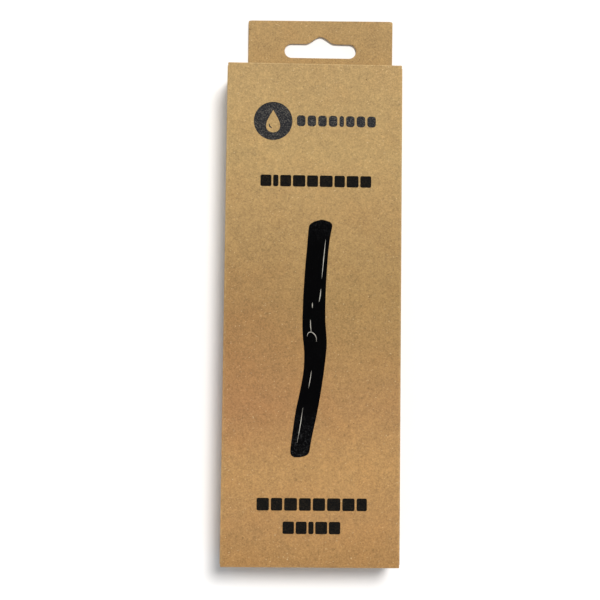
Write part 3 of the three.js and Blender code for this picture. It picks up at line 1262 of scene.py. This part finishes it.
@dataclass(frozen=True)
class FrontPrint:
    """The black print on the front: an emblem, rows of blocks, and the picture of a charcoal stick."""

    tube: CartonTube
    film: float = 0.03
    stroke_end: float = 0.012
    stroke_taper: float = 0.75
    outline_margins: tuple[float, ...] = (0.05, 0.12, 0.22, 0.36, 0.55, 0.8, 1.1)
    outline_step: float = 0.02
    outline_window: int = 43
    emblem: Point2 = (-17.96, 69.42)
    emblem_radius: float = 8.35
    drop_half_width: float = 4.3
    drop_half_height: float = 5.0
    drop_point: float = 1.5
    glint: tuple[Point2, ...] = ((-1.75, -1.0), (-1.5, -2.4), (-0.3, -3.3))
    glint_width: float = 0.55
    turns: int = 160
    upper_mark: BlockRow = BlockRow(
        -7.7, 26.5, 67.3, 4.8, (4.2, 4.2, 4.2, 4.2, 2.2, 4.2, 4.2, 4.2), corner=1.3, gap_share=0.26
    )
    rows: tuple[BlockRow, ...] = (
        BlockRow(-23.1, 24.7, 40.95, 5.0, (4.6, 2.2, 4.6, 5.2, 4.6, 5.4, 4.4, 5.0, 4.6)),
        BlockRow(-22.8, 23.9, -97.15, 5.3, (5.0, 4.6, 5.2, 4.8, 5.0, 5.4, 5.0, 4.2)),
        BlockRow(-11.7, 12.7, -106.9, 5.2, (4.8, 4.6, 2.2, 5.0, 4.8)),
    )
    picture_outline: tuple[Point3, ...] = (
        (26.75, 3.30, 3.80), (26.41, 1.78, 5.34), (25.97, 0.35, 6.72), (25.54, -0.37, 7.40),
        (25.11, -1.07, 7.81), (24.67, -1.53, 8.00), (24.0, -1.93, 8.12), (23.0, -2.09, 7.92),
        (21.5, -2.22, 7.57), (18.0, -2.48, 7.00), (14.0, -2.76, 6.56), (9.0, -3.19, 6.18),
        (4.0, -3.53, 5.90), (-1.0, -3.82, 5.65), (-6.0, -4.10, 5.50), (-11.0, -4.22, 5.42),
        (-16.0, -4.32, 5.48), (-19.0, -4.30, 5.66), (-22.0, -4.20, 5.94), (-25.0, -3.97, 6.20),
        (-28.0, -3.57, 6.16), (-31.0, -3.37, 5.90), (-34.0, -3.36, 5.61), (-37.0, -3.52, 5.27),
        (-40.0, -3.83, 4.91), (-44.0, -4.48, 4.35), (-48.0, -5.25, 3.75), (-52.0, -6.12, 3.09),
        (-56.0, -6.87, 2.37), (-60.0, -7.43, 1.57), (-64.0, -7.95, 0.73), (-68.0, -8.44, -0.08),
        (-71.0, -8.80, -0.48), (-72.7, -8.82, -0.83), (-73.55, -8.60, -1.41), (-73.97, -8.35, -2.05),
        (-74.39, -8.0, -3.02), (-74.75, -7.0, -4.9),
    )
    strokes: tuple[tuple[tuple[Point2, ...], float], ...] = (
        (((5.31, 18.8), (4.55, 10.5), (3.72, 0.8)), 0.31),
        (((3.45, -2.9), (3.21, -5.9), (2.68, -8.9)), 0.33),
        (((-0.16, -8.9), (-0.13, -11.4)), 0.30),
        (((-0.93, -16.1), (-0.80, -19.1), (-0.48, -21.7)), 0.33),
        (
            ((-2.06, -23.8), (-2.28, -22.5), (-1.25, -21.4), (0.25, -21.8), (1.35, -23.0), (1.88, -24.4),
             (1.62, -26.1)), 0.34,
        ),
        (((-0.18, -37.8), (-0.77, -42.0), (-1.44, -45.9)), 0.26),
        (((-3.60, -53.2), (-4.69, -61.2), (-6.06, -69.2)), 0.29),
    )

    def slab(self, x: Array, y: Array, level: float = 1.0, wraps: bool = False) -> Surface:
        """A thin closed film on the front, whose top follows the panel's crown.

        Args:
            x: (rows, columns) places across.
            y: (rows, columns) places along.
            level: how many films high its top stands.
            wraps: whether the last row joins the first.

        Returns:
            The film.
        """
        middle = np.stack((x, y, self.tube.front_height(x, y) + self.film * (level - 1) / 2), axis=-1)
        return closed_sheet(middle, self.film * (level + 1) / 2, (0, 0, 1), wraps)

    def rounded_block(self, block: Array, corner: float) -> Surface:
        """One block: a rectangle's grid, with each corner square drawn in to a quarter round.

        A point's place past the inner rectangle, (p, q) in corner radii, moves to
        (p times the root of 1 - q squared / 2, q times the root of 1 - p squared / 2).

        Args:
            block: middle X, middle Y, half width and half height.
            corner: the corner radius.

        Returns:
            The block's film.
        """
        middle, half = block[:2], block[2:]
        radius = min(corner, float(half.min()) * 0.95)
        close = np.linspace(0, radius, 5)
        places = [steps(2 * size, 3, close, close) - size for size in half]
        x, y = np.meshgrid(*places, indexing="ij")
        core_x, core_y = (np.clip(v, radius - size, size - radius) for v, size in zip((x, y), half))
        past_x, past_y = (x - core_x) / radius, (y - core_y) / radius
        x = core_x + radius * past_x * np.sqrt(1 - past_y**2 / 2)
        y = core_y + radius * past_y * np.sqrt(1 - past_x**2 / 2)
        return self.slab(middle[0] + x, middle[1] + y)

    def block_row(self, row: BlockRow) -> Surface:
        """All the blocks of a row as one film."""
        return Surface.joined([self.rounded_block(block, row.corner) for block in row.blocks()])

    def emblem_film(self) -> Surface:
        """A disc with a drop left open: rings from the drop's outline to the rim, and a glint in the drop.

        The drop is (sine of the turn times a power of its half-turn's sine, cosine of the turn), so
        that it comes to a point at the top.
        """
        turn = np.arange(self.turns)[:, None] * 2 * math.pi / self.turns
        share = np.linspace(0, 1, 10)[None, :]
        drop_x = self.drop_half_width * np.sin(turn) * np.sin(turn / 2) ** self.drop_point
        drop_y = self.drop_half_height * np.cos(turn)
        x = drop_x + (self.emblem_radius * np.sin(turn) - drop_x) * share
        y = drop_y + (self.emblem_radius * np.cos(turn) - drop_y) * share
        ring = self.slab(self.emblem[0] + x, self.emblem[1] + y, wraps=True)
        return Surface.joined([ring, self.stroke(np.array(self.glint) + self.emblem, self.glint_width, 1.0)])

    def stroke(self, points: Sequence[Point2] | Array, width: float, level: float) -> Surface:
        """A tapered stroke along a bent line: its half width goes by a power of a half sine.

        Args:
            points: the line's corners, smoothed by a moving mean.
            width: its greatest width.
            level: how many films high it stands.

        Returns:
            The stroke's film.
        """
        corners = np.array(points)
        travelled = np.concatenate(([0], np.cumsum(np.linalg.norm(np.diff(corners, axis=0), axis=1))))
        share = np.linspace(0, 1, 40)
        line = np.stack([np.interp(share * travelled[-1], travelled, corners[:, k]) for k in (0, 1)], axis=1)
        padded = np.concatenate((np.repeat(line[:1], 4, axis=0), line, np.repeat(line[-1:], 4, axis=0)))
        line = np.stack([np.convolve(padded[:, k], np.ones(9) / 9, "valid") for k in (0, 1)], axis=1)
        slope = np.gradient(line, axis=0)
        slope /= np.linalg.norm(slope, axis=1, keepdims=True)
        blunt = np.clip(share, self.stroke_end, 1 - self.stroke_end)
        half = width / 2 * np.sin(math.pi * blunt) ** self.stroke_taper
        across = np.linspace(-1, 1, 5)[None, :] * half[:, None]
        return self.slab(line[:, :1] - slope[:, 1:] * across, line[:, 1:] + slope[:, :1] * across, level)

    def picture_film(self) -> Surface:
        """The pictured stick: a row across at each Y, from its left outline to its right one.

        The outlines run straight between the places in the list, then take a weighted moving mean.
        """
        places = np.array(self.picture_outline)[::-1]
        bottom, top = places[0, 0], places[-1, 0]
        y = bottom + steps(top - bottom, 240, self.outline_margins, self.outline_margins)
        fine = np.arange(bottom - 1, top + 1, self.outline_step)
        kernel = np.hanning(self.outline_window)
        sides = [np.interp(fine, places[:, 0], places[:, k]) for k in (1, 2)]
        smooth = [np.convolve(side, kernel / kernel.sum(), "same") for side in sides]
        left, right = (np.interp(y, fine, side) for side in smooth)
        share = np.linspace(0, 1, 15)[None, :]
        x = left[:, None] + (right - left)[:, None] * share
        return self.slab(x, np.broadcast_to(y[:, None], x.shape))

    def build(self, finishes: Finishes) -> None:
        """Builds and dresses every printed film."""
        rows = Surface.joined([self.block_row(row) for row in self.rows])
        strokes = Surface.joined([self.stroke(points, width, 2.0) for points, width in self.strokes])
        films = {
            "printed_emblem": (self.emblem_film(), finishes.mark_ink),
            "printed_upper_mark": (self.block_row(self.upper_mark), finishes.mark_ink),
            "printed_block_rows": (rows, finishes.row_ink),
            "printed_stick": (self.picture_film(), finishes.picture_ink),
            "printed_stick_highlights": (strokes, finishes.highlight_ink),
        }
        for name, (surface, finish) in films.items():
            settle(surface.piece(name, finish), ["carton"])


# --------------------------------------------------------------------------- stick


@dataclass(frozen=True)
class CharcoalStick:
    """The stick in the carton: a charred branch with ridged bark marks, a knot, cracks and split ends."""

    length: float = 112.0
    radius: float = 7.2
    sway: float = 3.2
    low_y: float = -118.9
    rest_z: float = 1.75
    stations: int = 420
    sides: int = 168
    cap_rings: int = 16
    seed: int = 41
    knot: float = 0.5
    lump: Point2 = (0.487, 0.62)
    ridge_height: float = 0.26
    fine_height: float = 0.10
    wrinkle_height: float = 0.22
    long_crack_depth: float = 0.62
    cross_crack_depth: float = 0.34
    splits: int = 7
    split_depth: float = 0.9
    growth_ring: float = 0.95

    def centre_x(self, along: Array) -> Array:
        """The middle line: a slow cosine from side to side, with a sharp kink at the knot."""
        kink = bell(along - self.knot, 0.09)
        return self.sway * np.cos(math.pi * along * 1.15) * (0.6 + 0.4 * along) + 0.9 * kink

    def girth(self, along: Array, turn: Array) -> Array:
        """The smooth radius: thicker at the knot, a little oval, rounded off at both ends."""
        knot = 0.07 * bell(along - self.knot, 0.06)
        swell = 0.05 * np.sin(math.pi * (2.3 * along + 0.2))
        worn = 0.14 * np.exp(-np.minimum(along, 1 - along) * self.length / 1.1)
        oval = 0.045 * np.cos(2 * turn + 3 * along) + 0.02 * np.cos(5 * turn - 4 * along)
        return self.radius * (1 + knot + swell + oval - worn)

    def relief(self, along: Array, share: Array) -> tuple[Array, Array]:
        """The bark's relief in millimetres, and how deep in a hollow each point is, from 0 to 1.

        Ridges are stretched noise folded at 0; long cracks and short cross cracks are narrow bells
        round another noise's 0 line, kept to some places by a third; wrinkles ring the knot.

        Args:
            along: 0 to 1 down the stick.
            share: 0 to 1 round it.

        Returns:
            The relief and the hollow mark.
        """
        drifted = share + 0.06 * np.sin(2 * math.pi * along * 1.3)
        ridges = ring_noise(along, drifted, 26, 22, self.seed)
        fine = ring_noise(along, drifted, 70, 56, self.seed + 1)
        long_line = ring_noise(along, drifted, 9, 9, self.seed + 2)
        long_place = ease(ring_noise(along, share, 8, 5, self.seed + 3) * 1.6 + 0.35)
        long_crack = bell(long_line, 0.045) * long_place
        cross_line = ring_noise(along, share, 60, 4, self.seed + 4)
        cross_place = ease(ring_noise(along, share, 24, 7, self.seed + 5) * 2.2 - 0.7)
        cross_crack = bell(cross_line, 0.10) * cross_place
        ripples = np.sin(2 * math.pi * along * 58 + 1.2 * np.sin(4 * math.pi * share))
        lump = bell(along - self.lump[0], 0.02) * bell(share - self.lump[1], 0.055)
        height = self.ridge_height * (0.5 - np.abs(ridges)) + self.fine_height * fine + lump
        height += self.wrinkle_height * bell(along - self.knot, 0.045) * ripples
        height -= self.long_crack_depth * long_crack + self.cross_crack_depth * cross_crack
        hollow = np.clip(long_crack + 0.8 * cross_crack + 0.5 * ease(np.abs(ridges) * 2 - 0.6), 0, 1)
        return height, hollow

    def surface(self) -> Surface:
        """The whole stick: rings along it, and each end closed by rings that shrink to a pole.

        The rings' places are even ones less a share of their full-turn sine, so that they close up
        towards both ends. A power of the distance from the middle slants the two ends.

        An end's ring keeps the last ring's outline times a share from 1 to 0. Its face carries
        growth rings, a sine of the radius, and radial splits, narrow bells round seeded turns.
        """
        even = np.linspace(0, 1, self.stations)
        along = (even - np.sin(2 * math.pi * even) / (2.6 * math.pi))[:, None]
        share = (np.arange(self.sides) / self.sides)[None, :]
        turn = 2 * math.pi * share
        height, hollow = self.relief(along, share)
        fade = ease(np.minimum(along, 1 - along) * self.length / 0.8)
        radius = self.girth(along, turn) + height * (0.35 + 0.65 * fade)
        slant = 1.2 * np.cos(turn) * np.sign(along - 0.5) * np.abs(2 * along - 1) ** 8
        rings = np.stack((
            self.centre_x(along) + radius * np.cos(turn), along * self.length + slant, radius * np.sin(turn),
        ), axis=-1)
        head, tail = (
            self.end_face(rings[k], share[0], sign, self.seed + 10 + k) for k, sign in ((0, -1), (-1, 1))
        )
        grid = np.concatenate((head[0][::-1], rings, tail[0]))
        marks = np.concatenate((head[1][::-1], hollow, tail[1]))
        poles = [grid[0].mean(axis=0), grid[-1].mean(axis=0)]
        points = np.concatenate((grid.reshape(-1, 3), poles))
        points += (0.0, self.low_y - points[:, 1].min(), self.rest_z - points[:, 2].min())
        rows = len(grid)
        quads = grid_quads(self.sides, rows, True)
        order = np.arange(rows * self.sides).reshape(rows, self.sides).T.ravel()
        first, last = np.arange(self.sides), (rows - 1) * self.sides + np.arange(self.sides)
        fans = [
            np.stack((np.full(self.sides, rows * self.sides), first, np.roll(first, -1)), axis=1),
            np.stack((np.full(self.sides, rows * self.sides + 1), np.roll(last, -1), last), axis=1),
        ]
        hollows = np.append(marks.ravel(), (0.5, 0.5))
        return Surface(points, order[quads], {"hollow": hollows}, np.concatenate(fans)).facing_out()

    def end_face(self, outline: Array, share: Array, sign: int, seed: int) -> tuple[Array, Array]:
        """The rings of one end's face, from just inside its rim to just outside its pole.

        Args:
            outline: (sides, 3) the last ring of the bark.
            share: 0 to 1 round it.
            sign: the way out of the stick along Y.
            seed: the seed of the splits' turns.

        Returns:
            (cap_rings, sides, 3) points and (cap_rings, sides) hollow marks.
        """
        random = np.random.default_rng(seed)
        centre = outline.mean(axis=0)
        scale = np.linspace(1, 0, self.cap_rings + 1)[1:, None] ** 0.9
        scale[-1] = 0.03
        points = centre + (outline - centre)[None, :, :] * scale[..., None]
        splits = np.zeros((self.cap_rings, len(share)))
        for place, deep in zip(random.uniform(0, 1, self.splits), random.uniform(0.4, 1.0, self.splits)):
            wander = place + 0.02 * np.sin(scale * 9 + place * 20)
            away = np.abs((share[None, :] - wander + 0.5) % 1 - 0.5) * scale * 2 * math.pi * self.radius
            splits += deep * bell(away, 0.22) * ease(scale * 4)
        wave = 0.6 * np.sin(4 * math.pi * share)
        rings = 0.07 * np.cos(2 * math.pi * scale * self.radius / self.growth_ring + wave)
        dome = 0.9 * (1 - scale**2)
        rough = 0.16 * ring_noise(1 - scale, share[None, :], 9, 24, seed + 1) * ease(scale * 3)
        points[..., 1] += sign * (dome + rings + rough - self.split_depth * np.clip(splits, 0, 1))
        return points, np.clip(splits * 0.9, 0, 1)

    def build(self, finishes: Finishes) -> None:
        """Builds and dresses the stick."""
        made = self.surface().piece("charcoal_stick_charred", finishes.charcoal, 60)
        settle(made, ["stick"], ["charcoal_stick"])


# --------------------------------------------------------------------------- studio


@dataclass(frozen=True)
class Studio:
    """The pale floor, the lit wall far round it, the soft light and the camera straight above."""

    camera_place: Point3 = (-0.0194, -0.0394, 0.5)
    camera_turns: tuple[tuple[str, float], ...] = (("Z", 0.7887), ("X", 3.7655), ("Y", -1.7307))
    lens: float = 66.809
    sensor: float = 36.0
    clip_range: Point2 = (0.01, 60.0)
    key_direction: Point3 = (0.21, 0.38, 1.0)
    key_strength: float = 2.70
    key_angle: float = 0.31
    key_colour: Colour = (1.03, 1.0, 0.97)
    sky_strength: float = 0.325
    sky_colour: Colour = (0.94, 1.0, 1.06)
    floor_half: float = 9500.0
    floor_drop: float = 0.05
    floor_points: int = 9
    wall_radius: float = 9000.0
    wall_height: float = 3000.0
    wall_turns: int = 96
    wall_glow: float = 0.65

    def build(self) -> None:
        """Makes the camera, the lights, the floor and the wall."""
        scene = bpy.context.scene
        scene.view_settings.view_transform = "Standard"
        self.camera(scene)
        self.key_light(scene)
        self.sky(scene)
        self.floor()
        self.wall()
        LOG.info("studio built")

    def camera(self, scene: bpy.types.Scene) -> None:
        """Adds the camera, which looks down past the carton's middle, turned a little about each axis."""
        data = bpy.data.cameras.new("camera")
        data.lens, data.sensor_width = self.lens, self.sensor
        data.clip_start, data.clip_end = self.clip_range
        camera = bpy.data.objects.new("camera", data)
        placed = Matrix.Translation(self.camera_place)
        for axis, angle in self.camera_turns:
            placed = placed @ Matrix.Rotation(math.radians(angle), 4, axis)
        camera.matrix_world = placed
        scene.collection.objects.link(camera)
        scene.camera = camera

    def key_light(self, scene: bpy.types.Scene) -> None:
        """Adds the broad key light, which shines from high beyond the tab and a little from the right."""
        data = bpy.data.lights.new("key", "SUN")
        data.energy, data.angle, data.color = self.key_strength, self.key_angle, self.key_colour
        light = bpy.data.objects.new("key", data)
        across, along, up = self.key_direction
        tilt = math.atan2(math.hypot(across, along), up)
        spin = math.atan2(along, across)
        light.matrix_world = Matrix.Rotation(spin, 4, "Z") @ Matrix.Rotation(tilt, 4, "Y")
        scene.collection.objects.link(light)

    def sky(self, scene: bpy.types.Scene) -> None:
        """Adds the even light from all round."""
        world = bpy.data.worlds.new("studio")
        world.use_nodes = True
        light = world.node_tree.nodes["Background"]
        light.inputs["Strength"].default_value = self.sky_strength
        light.inputs["Color"].default_value = (*self.sky_colour, 1.0)
        scene.world = world

    def floor(self) -> None:
        """Adds the floor: a flat grid just below the carton."""
        side = np.linspace(-self.floor_half, self.floor_half, self.floor_points)
        x, y = np.meshgrid(side, side, indexing="ij")
        points = np.stack((x, y, np.full(x.shape, -self.floor_drop)), axis=-1).reshape(-1, 3)
        quads = grid_quads(self.floor_points, self.floor_points)
        Surface(points, quads).piece("studio_floor", StudioPaper().material())

    def wall(self) -> None:
        """Adds the wall: an upright ring far round the floor, which lets the key light through."""
        turn = (np.arange(self.wall_turns) * 2 * math.pi / self.wall_turns)[:, None]
        high = np.array([[-self.floor_drop, self.wall_height]])
        ring = np.broadcast_arrays(self.wall_radius * np.cos(turn), self.wall_radius * np.sin(turn), high)
        points = np.stack(ring, axis=-1).reshape(-1, 3)
        paper = StudioPaper("lit_wall_paper", glow=self.wall_glow).material()
        backdrop = Surface(points, grid_quads(self.wall_turns, 2, True)).piece("studio_wall", paper)
        backdrop.visible_shadow = False


def main() -> None:
    """Builds the studio, then the carton from its tube outwards, then its print and the stick."""
    logging.basicConfig(level=logging.INFO, format="%(name)s: %(message)s")
    Studio().build()
    finishes = Finishes.made()
    tube = CartonTube()
    tube.build(finishes)
    HangTab().build(finishes)
    GluedSeam().dress(finishes)
    for end in End:
        TuckEnd(end).build(finishes)
    FrontPrint(tube).build(finishes)
    CharcoalStick().build(finishes)


if __name__ == "__main__":
    main()
